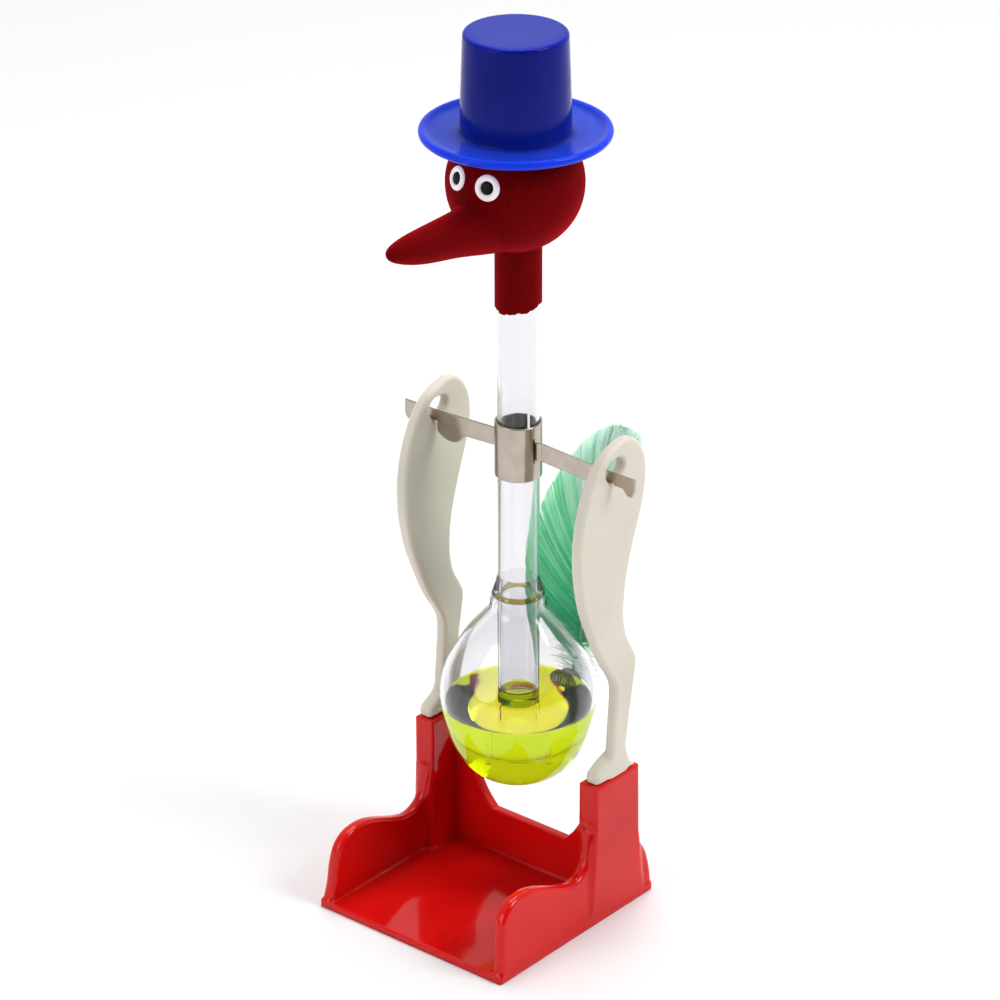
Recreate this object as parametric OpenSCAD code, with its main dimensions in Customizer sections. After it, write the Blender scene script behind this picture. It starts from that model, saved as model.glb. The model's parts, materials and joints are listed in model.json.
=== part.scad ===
// Drinking bird on its stand, in millimetres.
// The origin is the centre of the base's underside, +Z is up and the bird faces -Y.
// Left and right are the bird's own, so its left leg stands at +X.

/* [Base] */
// Width of the base tray
base_w = 46.6; // [44:0.1:50]
// Depth of the base tray, front to back
base_d = 47; // [45:0.5:52]
// Thickness of the tray's floor
floor_t = 1.4; // [1:0.1:2]
// Thickness of the low side walls
side_wall_t = 2.6; // [2:0.1:3]
// Height of the two towers that carry the legs
tower_h = 30.6; // [29:0.1:32]
// Thickness of a tower, measured across the bird
tower_t = 4.6; // [4.4:0.1:5]
// Height of the cross wall at its middle
cross_wall_h = 11.1; // [8:0.1:13]

/* [Legs] */
// Thickness of a leg's flat plate
leg_t = 2.5; // [2:0.1:2.8]
// Distance between the inner faces of the two legs
leg_gap = 41.2; // [41:0.1:42]
// Radius of the peg under each foot
peg_r = 1.2; // [0.8:0.1:1.4]
// Length of the peg under each foot
peg_len = 6; // [4:0.5:10]

/* [Pivot strip] */
// Height of the pivot axis above the table
pivot_h = 96.13; // [94:0.01:98]
// Distance of the pivot axis behind the middle of the base
pivot_y = 9.9; // [9:0.1:11]
// Thickness of the sheet metal
sheet_t = 0.44; // [0.3:0.02:0.5]
// Height of the blades
blade_h = 3.8; // [3.4:0.1:4.2]
// Height of the narrow neck that rests in each leg
neck_h = 2.28; // [2:0.02:2.4]
// Distance between the two ends of the strip
strip_w = 57; // [56:0.5:60]
// Height of the collar that grips the glass
collar_h = 11.3; // [9:0.1:12]

/* [Glass] */
// Outer radius of the neck tube
tube_r = 4.13; // [4:0.01:4.2]
// Wall thickness of the blown glass
glass_t = 0.75; // [0.6:0.05:0.9]
// Height of the open lower end of the tube
dip_end_z = 30; // [27:0.5:36]
// Height of the liquid's surface
liquid_z = 40.8; // [36:0.1:44]
// Radius of the glass head bulb
head_bulb_r = 11.7; // [11:0.1:12]

/* [Head] */
// Radius of the flocked head
head_r = 13.1; // [13:0.1:13.4]
// Height of the head's centre
head_z = 150.5; // [150:0.1:151]
// Radius of the flocked sleeve round the neck
sleeve_r = 4.6; // [4.5:0.05:4.8]
// Height of the sleeve's lower edge
sleeve_end_z = 124.2; // [120:0.1:130]
// Radius of an eye
eye_r = 2.65; // [2:0.05:3]
// Radius of a pupil
pupil_r = 1.38; // [1:0.02:1.6]

/* [Hat] */
// Height of the hat's flat top above the table
hat_top_z = 180; // [176:0.5:182]
// Height of the brim's underside
brim_z = 159.7; // [159.6:0.1:160]
// Radius of the brim
brim_r = 18.16; // [16:0.1:19]
// Radius of the crown at its top
crown_top_r = 9.87; // [9.8:0.01:10]
// Radius of the crown at the brim
crown_base_r = 10.45; // [10.4:0.01:10.6]
// Wall thickness of the hat
hat_t = 1; // [0.8:0.05:1]

/* [Tail feather] */
// Width of the feather's quill
quill_w = 1; // [0.8:0.1:1.4]
// Thickness of the feather's two vanes
vane_t = 0.5; // [0.4:0.1:0.8]

/* [Hidden] */
$fn = 64;

// Radius of the base tray's upright corners
corner_r = 1.2;
// Front face and thickness of the wall between the towers, behind the neck's axis
cross_wall_y = 3.1;
cross_wall_t = 1.9;
// How much further in a foot reaches than its leg's inner face
foot_extra = 1.1;
// A peg's place: behind the neck's axis, and nearer the middle than the leg's plate
peg_y = 2.4;
peg_in = 0.2;
// Clearance round a peg in its socket
peg_play = 0.02;
// Clearance between the glass and the collar that slides on it
collar_play = 0.05;
// Distance from the middle to a leg's inner and outer face
leg_in = leg_gap / 2;
leg_out = leg_in + leg_t;
// Free space between a leg's face and the strip's wide parts
leg_play = 0.4;
// Radius of the seat in which the strip's neck rocks
seat_r = norm([neck_h, sheet_t]) / 2 + 0.06;
// Bottom and top of the strip's blades
blade_top = pivot_h + neck_h / 2;
blade_low = blade_top - blade_h;
collar_low = blade_top - 7.3;
collar_r = tube_r + collar_play;
// How much higher the slightly bowed strip is at the collar than at its necks
blade_bow = 0.8;
// Where the blades' necks begin and end, and where the strip ends
neck_in = leg_in - leg_play;
neck_out = leg_out + leg_play;
strip_end = strip_w / 2;
// The open seam of the rolled collar: its direction, and its width
seam_angle = 98;
seam_w = 0.7;
// Height at which the body bulb is fused to the neck tube, and where its neck meets the tube
seal_z = 62.8;
bulb_neck_z = 68.4;
// The head and the hat sit slightly in front of the neck's axis
head_y = -0.9;
hat_y = -0.7;
// The neck tube ends just inside the head bulb
tube_top_z = head_z - sqrt(head_bulb_r ^ 2 - tube_r ^ 2) + 0.9;
// Base, height and top radius of the glass tip where the filled bird was melted shut
tip_z = head_z + head_bulb_r - 0.4;
tip_h = 3.4;
tip_low_r = 1.8;
tip_top_r = 0.5;
// The flock's thickness on the beak
flock_t = 0.8;
// Where the beak's axis starts inside the head, and how far it points up
beak_root = [0, -8, 144.3];
beak_rise = 6.2;
// The eyes' directions: how far to the side they look, and how far down from straight up
eye_side = 15.5;
eye_down = 75;
// Distance of an eye's back from the head's centre, its height, and how its pupil is set into it
eye_base = head_r - 1;
eye_h = 1.55;
pupil_depth = 0.6;
pupil_proud = 0.15;
crown_in_r = crown_base_r - hat_t;
// Thickness of the feather's quill at its root and at its tip, and where it and the vanes start
quill_base_t = 1.2;
quill_tip_t = 0.5;
quill_start_z = 30;
vane_start_z = 40;
// Overlap that cutting solids need
cut = 1;

// ---------------------------------------------------------------- curves

// One point of a Catmull-Rom span from b to c
function spline_at(a, b, c, d, t) =
    0.5 * (2 * b + (c - a) * t + (2 * a - 5 * b + 4 * c - d) * t * t
           + (3 * b - a - 3 * c + d) * t * t * t);

// A smooth open curve through points
function curve(p, n = 4) = [
    for (i = [0 : len(p) - 2], k = [0 : n - 1])
        spline_at(p[max(i - 1, 0)], p[i], p[i + 1], p[min(i + 2, len(p) - 1)], k / n),
    p[len(p) - 1]
];

// Unit normal on the right of an open line at its point i
function normal_at(p, i) =
    let (d = p[min(i + 1, len(p) - 1)] - p[max(i - 1, 0)]) [d.y, -d.x] / norm(d);

// The same line moved sideways by t
function beside(p, t) = [for (i = [0 : len(p) - 1]) p[i] + t * normal_at(p, i)];

function reversed(p) = [for (i = [len(p) - 1 : -1 : 0]) p[i]];

// ---------------------------------------------------------------- placing

// Everything on the bird is drawn round the neck tube's axis
module on_neck() translate([0, pivot_y, 0]) children();

// An outline in Y and Z, made t thick from x0 towards +X
module slab_x(x0, t) translate([x0, 0, 0]) rotate([90, 0, 90]) linear_extrude(t) children();

// An outline in X and Z, made t thick from y0 towards +Y
module slab_y(y0, t) translate([0, y0 + t, 0]) rotate([90, 0, 0]) linear_extrude(t) children();

// The same thing on both sides of the bird
module both_sides() {
    children();
    mirror([1, 0, 0]) children();
}

// ---------------------------------------------------------------- stand

// Low side wall, seen from the side, with Y from the pivot axis
module side_wall_outline() {
    front = -base_d / 2 - pivot_y;
    back = base_d / 2 - pivot_y;
    polygon(concat(
        [[back, 0], [front, 0]],
        curve([[front, 0], [front + 1, 5], [front + 1.5, 10], [front + 2.8, 13.8],
               [front + 6, 15.9], [-22, 15.8], [-13, 12.3], [-9.5, 11.6],
               [-6.8, 12.7], [-5.1, 15.2], [-4.3, 20]]),
        curve([[9.3, 14.5], [10.7, 12.3], [12.6, 9.1], [back, 3.9], [back, 0.4]])
    ));
}

module tower_outline() polygon([[-4.4, 0], [-4.3, tower_h], [9, tower_h], [9.6, 0]]);

// Wall between the towers, hollowed so that the bulb swings over it
module cross_wall_outline() {
    x1 = base_w / 2 - tower_t / 2;
    rise = curve([[9.2, cross_wall_h], [11.5, 13.7], [13.4, 17], [16, 22.8], [x1, 29.6]]);
    left = [for (p = reversed(rise)) [-p.x, p.y]];
    polygon(concat([[-x1, 0]], left, rise, [[x1, 0]]));
}

// A plate with round upright corners, which trims the whole tray
module tray_footprint() {
    for (x = [-1, 1], y = [-1, 1])
        translate([x * (base_w / 2 - corner_r), y * (base_d / 2 - corner_r)]) circle(corner_r);
    square([base_w - 2 * corner_r, base_d], center = true);
    square([base_w, base_d - 2 * corner_r], center = true);
}

// A peg that is let into the tower by len
module leg_peg(r, len) translate([(leg_in + leg_out) / 2 - peg_in, peg_y, tower_h - len])
    cylinder(r = r, h = len + cut);

module base_tray() color("red") difference() {
    intersection() {
        union() {
            translate([-base_w / 2, -base_d / 2, 0]) cube([base_w, base_d, floor_t]);
            on_neck() both_sides() {
                slab_x(base_w / 2 - side_wall_t, side_wall_t) side_wall_outline();
                slab_x(base_w / 2 - tower_t, tower_t) tower_outline();
            }
            on_neck() slab_y(cross_wall_y, cross_wall_t) cross_wall_outline();
        }
        linear_extrude(tower_h + cut) tray_footprint();
    }
    on_neck() both_sides() leg_peg(peg_r + peg_play, peg_len + 0.3);
}

// Leg seen from the side, shaped like a bird's thigh and shank
function leg_front() = curve([
    [4, 102.6], [0.5, 101.7], [-2.5, 100.2], [-5, 97.5], [-7, 94], [-8.5, 90], [-9.3, 86],
    [-9.6, 82], [-9.2, 76.4], [-7.9, 70.5], [-6.4, 66.4], [-4, 61], [-2, 57], [0.8, 52.7],
    [1.9, 50.2], [2, 47], [1.6, 42], [1.2, 36.7], [0.8, 33]
], 3);
function leg_back() = curve([
    [5, 33], [5.2, 36], [6, 41], [6.9, 46.5], [7.8, 51.5], [8.1, 54.5], [6.8, 57.3],
    [5.1, 60.5], [4.2, 64.3], [4.2, 68], [4.7, 72.5], [6, 77.5], [7.5, 82], [9.2, 86.6],
    [10.3, 91], [10.5, 94.4], [9.9, 97.7], [8.2, 100.6], [6.2, 102.2]
], 3);

// Rounded foot, which covers the top of the tower
module foot_outline() polygon(curve([
    [-2.2, tower_h], [-3.5, tower_h + 0.8], [-3.2, tower_h + 2.2], [-1.6, tower_h + 3.2],
    [0.6, tower_h + 4.2], [5, tower_h + 4.6], [6.8, tower_h + 1.8], [8.3, tower_h + 0.6],
    [8.2, tower_h]
], 3));

module leg_loop_hole() {
    // the seat for the strip's neck
    translate([0, pivot_h]) circle(seat_r);
    translate([0.4, pivot_h + 1.2]) circle(2.2);
    translate([1.7, pivot_h + 1.6]) circle(1.8);
}

module leg() {
    slab_x(leg_in, leg_t) difference() {
        polygon(concat(leg_front(), leg_back()));
        leg_loop_hole();
    }
    slab_x(leg_in - foot_extra, leg_t + foot_extra) foot_outline();
    leg_peg(peg_r, peg_len);
}

module left_leg() color("ivory") on_neck() leg();
module right_leg() color("ivory") on_neck() mirror([1, 0, 0]) leg();

// ---------------------------------------------------------------- pivot

// One blade of the strip, from the collar out to the end of the neck that rests in the leg
module blade_outline() {
    polygon([[collar_r, blade_low + blade_bow], [neck_in, blade_low],
             [neck_in, blade_top], [collar_r, blade_top + blade_bow]]);
    translate([neck_in - cut, blade_top - neck_h]) square([neck_out - neck_in + 2 * cut, neck_h]);
}

// The strip's left end, whose lower corner is bent down
module hooked_end_outline() polygon([
    [neck_out, blade_top], [neck_out, blade_top - 2.6], [strip_end - 2.9, blade_top - 2.6],
    [strip_end - 1.9, blade_top - 3.9], [strip_end - 0.6, blade_top - 3.9],
    [strip_end, blade_top - 2.4], [strip_end, blade_top]
]);

// The strip's right end, with its lower corner cut round
module round_end_outline() polygon([
    [neck_out, blade_top], [neck_out, blade_top - 4.1], [strip_end - 1.2, blade_top - 4.1],
    [strip_end - 0.3, blade_top - 3.7], [strip_end, blade_top - 3], [strip_end, blade_top]
]);

// The half-moon under the right blade, which keeps the bird in the middle
module moon_outline() intersection() {
    translate([17, blade_low + 2.4]) circle(4.3);
    translate([neck_in - 10, blade_low - 5]) square([10, 7.4]);
}

module collar() translate([0, 0, collar_low]) cylinder(r = collar_r + sheet_t, h = collar_h);

module pivot_strip() color("silver") on_neck() difference() {
    union() {
        slab_y(-sheet_t / 2, sheet_t) {
            blade_outline();
            hooked_end_outline();
            mirror([1, 0]) {
                blade_outline();
                round_end_outline();
                moon_outline();
            }
        }
        collar();
    }
    translate([0, 0, collar_low - cut]) cylinder(r = collar_r, h = collar_h + 2 * cut);
    rotate([0, 0, seam_angle]) translate([0, -seam_w / 2, collar_low - cut])
        cube([2 * collar_r, seam_w, collar_h + 2 * cut]);
}

// ---------------------------------------------------------------- glass

// Outside of the body bulb from its lowest point up to the neck tube
bulb_outer = curve([
    [0, 23.9], [4, 24.15], [7.3, 25.3], [9.9, 27.2], [12.1, 30], [13.4, 33], [14.3, 36],
    [15.05, 39], [15.42, 42], [15.2, 45], [14.4, 48], [13, 51], [11.3, 54], [9.2, 57],
    [6.9, 59.8], [5.7, 61.5], [5.5, 63.2], [5.1, 64.8], [4.5, 66.6], [tube_r, bulb_neck_z]
], 3);
// Inside of the bulb, up to where the glass is fused to the tube
bulb_inner = [
    for (p = beside(bulb_outer, -glass_t))
        if (p.y < seal_z - 0.6 && (p.x > tube_r || p.y < dip_end_z)) [max(p.x, 0), p.y]
];

module body_bulb() color("aliceblue", 0.4) on_neck() rotate_extrude()
    polygon(concat(bulb_outer, [[tube_r, seal_z]], reversed(bulb_inner)));

module neck_tube() color("aliceblue", 0.4) on_neck() translate([0, 0, dip_end_z]) difference() {
    cylinder(r = tube_r, h = tube_top_z - dip_end_z);
    translate([0, 0, -cut]) cylinder(r = tube_r - glass_t, h = tube_top_z - dip_end_z + 2 * cut);
}

// The glass tip on top of the head bulb
module head_tip() translate([0, 0, tip_z]) cylinder(r1 = tip_low_r, r2 = tip_top_r, h = tip_h);

module head_bulb() color("aliceblue", 0.4) on_neck() difference() {
    union() {
        translate([0, 0, head_z]) sphere(head_bulb_r);
        head_tip();
    }
    translate([0, 0, head_z]) sphere(head_bulb_r - glass_t);
    translate([0, 0, head_z - head_bulb_r - cut]) cylinder(r = tube_r, h = 6);
}

// Coloured liquid: it fills the bulb's lower half and stands as high inside the tube
liquid_wall = [for (p = bulb_inner) if (p.y < liquid_z - 0.3) p];
liquid_rim_r = min([for (p = bulb_inner) if (abs(p.y - liquid_z) < 1.2) p.x]);

module liquid() color("yellowgreen", 0.8) on_neck() difference() {
    rotate_extrude() polygon(concat(liquid_wall, [[liquid_rim_r, liquid_z], [0, liquid_z]]));
    translate([0, 0, dip_end_z]) difference() {
        cylinder(r = tube_r, h = liquid_z);
        translate([0, 0, -cut]) cylinder(r = tube_r - glass_t, h = liquid_z + 2 * cut);
    }
}

// ---------------------------------------------------------------- head

// The beak's radius along its axis, from the root to the tip
beak_side = curve([[5.6, 0], [5.1, 4], [4.6, 7.6], [4.1, 11.2], [3.55, 16], [2.95, 21], [2.3, 25],
                   [1.5, 27.8], [0.75, 28.9], [0, 29.2]], 3);

// The beak, made thinner all round where it is the core inside the flock
module beak_solid(thinner) translate(beak_root) rotate([90 - beak_rise, 0, 0]) rotate_extrude()
    polygon(concat([[0, 0]], [for (p = beside(beak_side, -thinner)) if (p.x > 0) p],
                   [[0, max([for (p = beside(beak_side, -thinner)) p.y])]]));

module beak_core() color("maroon") on_neck() difference() {
    beak_solid(flock_t);
    translate([0, 0, head_z]) sphere(head_bulb_r);
}

// Something drawn along +Z, turned to look out of the head where an eye is
module at_eye(side) translate([0, head_y, head_z]) rotate([eye_down, 0, side * eye_side]) children();

module head_flock() color("darkred") on_neck() difference() {
    union() {
        translate([0, head_y, head_z]) sphere(head_r);
        translate([0, 0, sleeve_end_z])
            cylinder(r = sleeve_r, h = head_z - head_bulb_r - sleeve_end_z + 3);
        beak_solid(0);
    }
    translate([0, 0, head_z]) sphere(head_bulb_r);
    translate([0, 0, sleeve_end_z - cut]) cylinder(r = tube_r, h = head_z - sleeve_end_z);
    head_tip();
    beak_solid(flock_t);
    for (side = [-1, 1]) at_eye(side) translate([0, 0, eye_base]) cylinder(r = eye_r, h = 5);
}

module eye_white(side) color("whitesmoke") on_neck() at_eye(side)
    translate([0, 0, eye_base]) difference() {
        cylinder(r = eye_r, h = eye_h);
        translate([0, 0, eye_h - pupil_depth]) cylinder(r = pupil_r, h = pupil_depth + cut);
    }

module eye_pupil(side) color("black") on_neck() at_eye(side)
    translate([0, 0, eye_base + eye_h - pupil_depth])
        cylinder(r = pupil_r, h = pupil_depth + pupil_proud);

module left_eye_white() eye_white(1);
module left_eye_pupil() eye_pupil(1);
module right_eye_white() eye_white(-1);
module right_eye_pupil() eye_pupil(-1);

// ---------------------------------------------------------------- hat

// Half of the hat, cut through its middle
module hat_outline() polygon([
    [crown_in_r, brim_z], [brim_r - 0.7, brim_z], [brim_r, brim_z + 0.5], [brim_r, brim_z + 1.4],
    [brim_r - 0.5, brim_z + 1.8], [brim_r - 1.1, brim_z + 1.5], [brim_r - 1.6, brim_z + hat_t],
    [crown_base_r + 0.4, brim_z + hat_t], [crown_base_r, brim_z + hat_t + 0.5],
    [crown_top_r, hat_top_z - 0.5], [crown_top_r - 0.5, hat_top_z], [0, hat_top_z],
    [0, hat_top_z - hat_t], [crown_top_r - hat_t, hat_top_z - hat_t]
]);

module hat() color("mediumblue") on_neck() translate([0, hat_y, 0]) rotate_extrude() hat_outline();

// Bead of glue that holds the hat's crown on the head
module hat_glue() color("gainsboro") on_neck() difference() {
    translate([0, hat_y, brim_z + 0.6]) cylinder(r = crown_in_r - 0.06, h = 1.8);
    translate([0, head_y, head_z]) sphere(head_r);
    translate([0, hat_y, brim_z]) cylinder(r = 7.6, h = 6);
}

// ---------------------------------------------------------------- tail feather

// The quill's middle line, seen from the side: Y from the neck's axis, and height
quill_line = curve([
    [17.2, 33], [18, 38], [19.2, 44], [20.4, 54], [21.9, 64], [24, 74], [26.6, 83], [29.8, 89.5]
], 3);

// A strip along the quill's line, thinning towards its tip
module quill_band(t0, t1, from) {
    line = [for (p = quill_line) if (p.y >= from) p];
    n = len(line) - 1;
    polygon(concat(
        [for (i = [0 : n]) line[i] + normal_at(line, i) * (t0 + (t1 - t0) * i / n) / 2],
        [for (i = [n : -1 : 0]) line[i] - normal_at(line, i) * (t0 + (t1 - t0) * i / n) / 2]
    ));
}

module feather_quill() color("palegreen") on_neck()
    slab_x(-quill_w / 2, quill_w) quill_band(quill_base_t, quill_tip_t, quill_start_z);

// Half of the feather's outline, seen from behind, with the quill along Z
module vane_outline() polygon(concat(
    [[quill_w / 2, 42]],
    curve([[quill_w / 2, 42], [4, 43.5], [8.4, 48], [11.3, 55], [12.6, 63], [12.2, 71], [10.4, 79],
           [6.8, 86], [3.2, 89.2], [quill_w / 2, 90.2]], 3)
));

module feather_vane() color("mediumseagreen") on_neck() both_sides() intersection() {
    slab_x(0, 20) quill_band(vane_t, vane_t, vane_start_z);
    slab_y(10, 30) vane_outline();
}

// Bead of glue that holds the quill's root to the back of the bulb
module feather_glue() color("gainsboro") on_neck() difference() {
    translate([0, 12, 37.2]) rotate([-90, 0, 0]) rotate_extrude()
        polygon([[0, 0], [3.4, 0], [3.4, 5.2], [2.9, 6.2], [1.9, 6.9], [0, 7.1]]);
    rotate_extrude() polygon(concat(bulb_outer, [[0, bulb_neck_z]]));
    slab_x(-quill_w / 2, quill_w) quill_band(quill_base_t, quill_tip_t, quill_start_z);
}

base_tray();
left_leg();
right_leg();
pivot_strip();
neck_tube();
body_bulb();
head_bulb();
liquid();
beak_core();
head_flock();
left_eye_white();
left_eye_pupil();
right_eye_white();
right_eye_pupil();
hat();
hat_glue();
feather_quill();
feather_vane();
feather_glue();
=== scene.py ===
"""The drinking bird's looks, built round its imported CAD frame.

Lengths are written in millimetres and turned into metres when a mesh is made. The bird faces -Y, and
left and right are its own, so its left leg is at +X. Most pieces are solids described by a distance
function (negative inside), which is meshed by surface nets; round pieces are turned on the neck's axis.
"""
import json
import math

import bmesh
import bpy
import numpy as np
from mathutils import Matrix, Vector


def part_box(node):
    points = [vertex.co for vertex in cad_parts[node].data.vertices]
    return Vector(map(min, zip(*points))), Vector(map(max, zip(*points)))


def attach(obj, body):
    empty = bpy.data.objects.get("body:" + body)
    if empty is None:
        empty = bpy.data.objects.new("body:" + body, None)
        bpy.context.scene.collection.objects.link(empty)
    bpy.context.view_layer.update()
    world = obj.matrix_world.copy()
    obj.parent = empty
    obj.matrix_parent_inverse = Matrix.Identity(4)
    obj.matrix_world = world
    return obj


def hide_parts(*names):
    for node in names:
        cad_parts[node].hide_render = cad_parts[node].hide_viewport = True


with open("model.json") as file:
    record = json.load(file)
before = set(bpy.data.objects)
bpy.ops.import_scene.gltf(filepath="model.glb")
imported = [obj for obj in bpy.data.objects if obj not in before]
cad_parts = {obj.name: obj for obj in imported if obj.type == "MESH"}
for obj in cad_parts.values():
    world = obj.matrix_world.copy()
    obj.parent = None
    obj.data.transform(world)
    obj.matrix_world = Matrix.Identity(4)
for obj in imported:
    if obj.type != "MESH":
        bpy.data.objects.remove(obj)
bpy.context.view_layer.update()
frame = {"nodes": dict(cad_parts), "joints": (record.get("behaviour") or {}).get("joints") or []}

MM = 0.001


def box_mm(node):
    """Lowest and highest corner of a CAD node, in millimetres."""
    low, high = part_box(node)
    return [c / MM for c in low], [c / MM for c in high]


# ------------------------------------------------------------------ places, most from the CAD frame

TUBE_LOW, TUBE_HIGH = box_mm("neck_tube")
NECK_Y = (TUBE_LOW[1] + TUBE_HIGH[1]) / 2
TUBE_R = (TUBE_HIGH[0] - TUBE_LOW[0]) / 2
GLASS_T = 0.75
BASE_LOW, BASE_HIGH = box_mm("base_tray")
LEG_LOW, LEG_HIGH = box_mm("left_leg")
STRIP_LOW, STRIP_HIGH = box_mm("pivot_strip")
HAT_LOW, HAT_HIGH = box_mm("hat")
FLOCK_LOW, FLOCK_HIGH = box_mm("head_flock")
LIQUID_TOP = box_mm("liquid")[1][2]
TOWER_H = BASE_HIGH[2]
HAT_Y = (HAT_LOW[1] + HAT_HIGH[1]) / 2 - NECK_Y
HEAD_R = FLOCK_HIGH[0]
HEAD_Y = FLOCK_HIGH[1] - HEAD_R - NECK_Y
HEAD_Z = 150.5
HEAD_BULB_R = 11.7
PIVOT_Z = frame["joints"][0]["pos_m"][2] / MM


# ------------------------------------------------------------------ curves

def spline(points, steps=6):
    """A smooth open line through points (Catmull-Rom)."""
    p = np.asarray(points, float)
    p = np.vstack([p[:1], p, p[-1:]])
    out = []
    for i in range(1, len(p) - 2):
        a, b, c, d = p[i - 1 : i + 3]
        for t in np.arange(steps) / steps:
            out.append(0.5 * (2 * b + (c - a) * t + (2 * a - 5 * b + 4 * c - d) * t**2
                              + (3 * b - a - 3 * c + d) * t**3))
    out.append(p[-2])
    return np.array(out)


def beside(line, distance):
    """The same 2-D line, moved to its right by distance."""
    d = np.gradient(line, axis=0)
    n = np.stack([d[:, 1], -d[:, 0]], 1) / np.linalg.norm(d, axis=1)[:, None]
    return line + distance * n


# ------------------------------------------------------------------ distance functions

def polygon_distance(a, b, outline):
    """Signed distance of the points (a, b) from a closed outline."""
    shape = np.broadcast(a, b).shape
    nearest = np.full(shape, 1e9)
    inside = np.zeros(shape, bool)
    for p, q in zip(outline, np.roll(outline, -1, axis=0)):
        e = q - p
        t = np.clip(((a - p[0]) * e[0] + (b - p[1]) * e[1]) / (e @ e + 1e-12), 0, 1)
        nearest = np.minimum(nearest, (a - p[0] - t * e[0]) ** 2 + (b - p[1] - t * e[1]) ** 2)
        crosses = (b >= p[1]) != (b >= q[1])
        if abs(e[1]) > 1e-12:
            inside ^= crosses & (a < p[0] + (b - p[1]) * e[0] / e[1])
    return np.where(inside, -1, 1) * np.sqrt(nearest)


def slab(flat, across, half, r):
    """A plate: a flat 2-D distance made 2 * half thick, with its edges rounded by r."""
    u, w = flat + r, np.abs(across) - half + r
    return np.minimum(np.maximum(u, w), 0) + np.hypot(np.maximum(u, 0), np.maximum(w, 0)) - r


def round_box(x, y, z, low, high, r):
    """A box with rounded edges."""
    q = [np.abs(v - (a + b) / 2) - (b - a) / 2 + r for v, a, b in zip((x, y, z), low, high)]
    out = np.sqrt(sum(np.maximum(v, 0) ** 2 for v in q))
    return out + np.minimum(np.maximum(np.maximum(q[0], q[1]), q[2]), 0) - r


def join(a, b, k):
    """Union with a fillet of about k."""
    h = np.maximum(k - np.abs(a - b), 0) / k
    return np.minimum(a, b) - h * h * k / 4


def cut(a, b, k):
    """a without b, with the edge eased by k."""
    return -join(-a, b, k)


# ------------------------------------------------------------------ meshing

CORNERS = [(0, 0, 0), (1, 0, 0), (0, 1, 0), (1, 1, 0), (0, 0, 1), (1, 0, 1), (0, 1, 1), (1, 1, 1)]
CELL_EDGES = [(0, 1), (2, 3), (4, 5), (6, 7), (0, 2), (1, 3), (4, 6), (5, 7),
              (0, 4), (1, 5), (2, 6), (3, 7)]


def surface_net(distance, low, high, cell):
    """Vertices and quads of the surface where distance is zero."""
    axes = [np.arange(a - 1.5 * cell, b + 1.5 * cell, cell) for a, b in zip(low, high)]
    x, y, z = axes[0][:, None, None], axes[1][None, :, None], axes[2][None, None, :]
    value = np.ascontiguousarray(np.broadcast_to(distance(x, y, z), [len(a) for a in axes]))
    solid = value < 0
    count = sum(solid[i : i + solid.shape[0] - 1, j : j + solid.shape[1] - 1, k : k + solid.shape[2] - 1]
                .astype(np.int8) for i, j, k in CORNERS)
    cells = np.argwhere((count > 0) & (count < 8))
    corner = np.array([value[tuple((cells + c).T)] for c in CORNERS])
    total, n = np.zeros((len(cells), 3)), np.zeros(len(cells))
    for i, j in CELL_EDGES:
        va, vb = corner[i], corner[j]
        hit = (va < 0) != (vb < 0)
        t = np.where(hit, va / np.where(hit, va - vb, 1), 0)
        point = np.array(CORNERS[i]) + t[:, None] * (np.array(CORNERS[j]) - np.array(CORNERS[i]))
        total += point * hit[:, None]
        n += hit
    verts = np.array([a[0] for a in axes]) + cell * (cells + total / n[:, None])
    index = np.full(count.shape, -1, np.int64)
    index[tuple(cells.T)] = np.arange(len(cells))
    quads = []
    for axis in range(3):
        u, v = (axis + 1) % 3, (axis + 2) % 3
        first = np.take(solid, range(solid.shape[axis] - 1), axis)
        second = np.take(solid, range(1, solid.shape[axis]), axis)
        for start_solid in (True, False):
            at = np.argwhere((first == start_solid) & (second != start_solid))
            at = at[(at[:, u] > 0) & (at[:, v] > 0)]
            at = at[(at[:, u] < index.shape[u]) & (at[:, v] < index.shape[v])]
            ring = [(0, 0), (-1, 0), (-1, -1), (0, -1)]
            if start_solid:
                ring = ring[::-1]
            face = []
            for du, dv in ring:
                c = at.copy()
                c[:, u] += du
                c[:, v] += dv
                face.append(index[tuple(c.T)])
            quads.append(np.array(face).T[:, ::-1])
    quads = np.vstack(quads)
    for _ in range(3):
        value = distance(*verts.T)
        h = cell * 0.1
        slope = np.stack([(distance(*(verts + h * e).T) - distance(*(verts - h * e).T)) / (2 * h)
                          for e in np.eye(3)], 1)
        step = slope * (value / np.maximum((slope**2).sum(1), 0.05))[:, None]
        size = np.linalg.norm(step, axis=1)[:, None]
        verts = verts - step * np.minimum(1, 0.5 * cell / np.maximum(size, 1e-9))
    return verts, quads


def make(name, verts, faces, material, body, sharp=180, node=None):
    """A mesh piece, from millimetres, that rides on a body and may stand for a CAD node."""
    mesh = bpy.data.meshes.new(name)
    points = [tuple(v) for v in np.asarray(verts, float) * MM]
    mesh.from_pydata(points, [], [tuple(map(int, f)) for f in faces])
    tidy = bmesh.new()
    tidy.from_mesh(mesh)
    bmesh.ops.recalc_face_normals(tidy, faces=tidy.faces)
    tidy.to_mesh(mesh)
    tidy.free()
    mesh.shade_smooth()
    mesh.set_sharp_from_angle(angle=math.radians(sharp))
    obj = bpy.data.objects.new(name, mesh)
    bpy.context.scene.collection.objects.link(obj)
    mesh.materials.append(material)
    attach(obj, body)
    if node:
        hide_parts(node)
    return obj


def sculpt(name, distance, low, high, cell, material, body, node=None):
    """A piece meshed from its distance function."""
    verts, quads = surface_net(distance, low, high, cell)
    make(name, verts, quads, material, body, node=node)


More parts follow.
